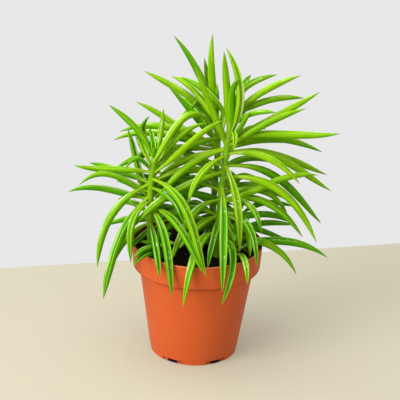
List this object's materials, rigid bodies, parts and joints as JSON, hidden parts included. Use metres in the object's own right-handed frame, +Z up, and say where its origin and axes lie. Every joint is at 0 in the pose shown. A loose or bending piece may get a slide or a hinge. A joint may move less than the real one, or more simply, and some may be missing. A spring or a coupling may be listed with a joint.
{
  "type": "potted plant",
  "caption": "Potted peperomia with upright leafy stems of narrow folded leaves, in a tapered plastic nursery pot filled with potting mix.",
  "frame": {"origin": "centre of the pot's flat underside, on the surface it stands on", "axes": "+Z up along the pot's axis, +X to the plant's right as seen from the front, -Y towards the front"},
  "size_m": [0.2071, 0.1445, 0.2631],
  "materials": {
    "terracotta_plastic": "satin",
    "potting_mix": "matte",
    "leaf_green": "satin",
    "young_leaf_green": "satin"
  },
  "bodies": {
    "root": {"pot": "terracotta_plastic", "potting_mix": "potting_mix", "leafy_stem_left": "leaf_green", "leafy_stem_right": "leaf_green", "leafy_stem_middle": "leaf_green", "shoot_back": "leaf_green", "shoot_back_right": "leaf_green", "shoot_back_left": "leaf_green", "shoot_front_left": "young_leaf_green", "shoot_front_right": "young_leaf_green"}
  },
  "joints": []
}
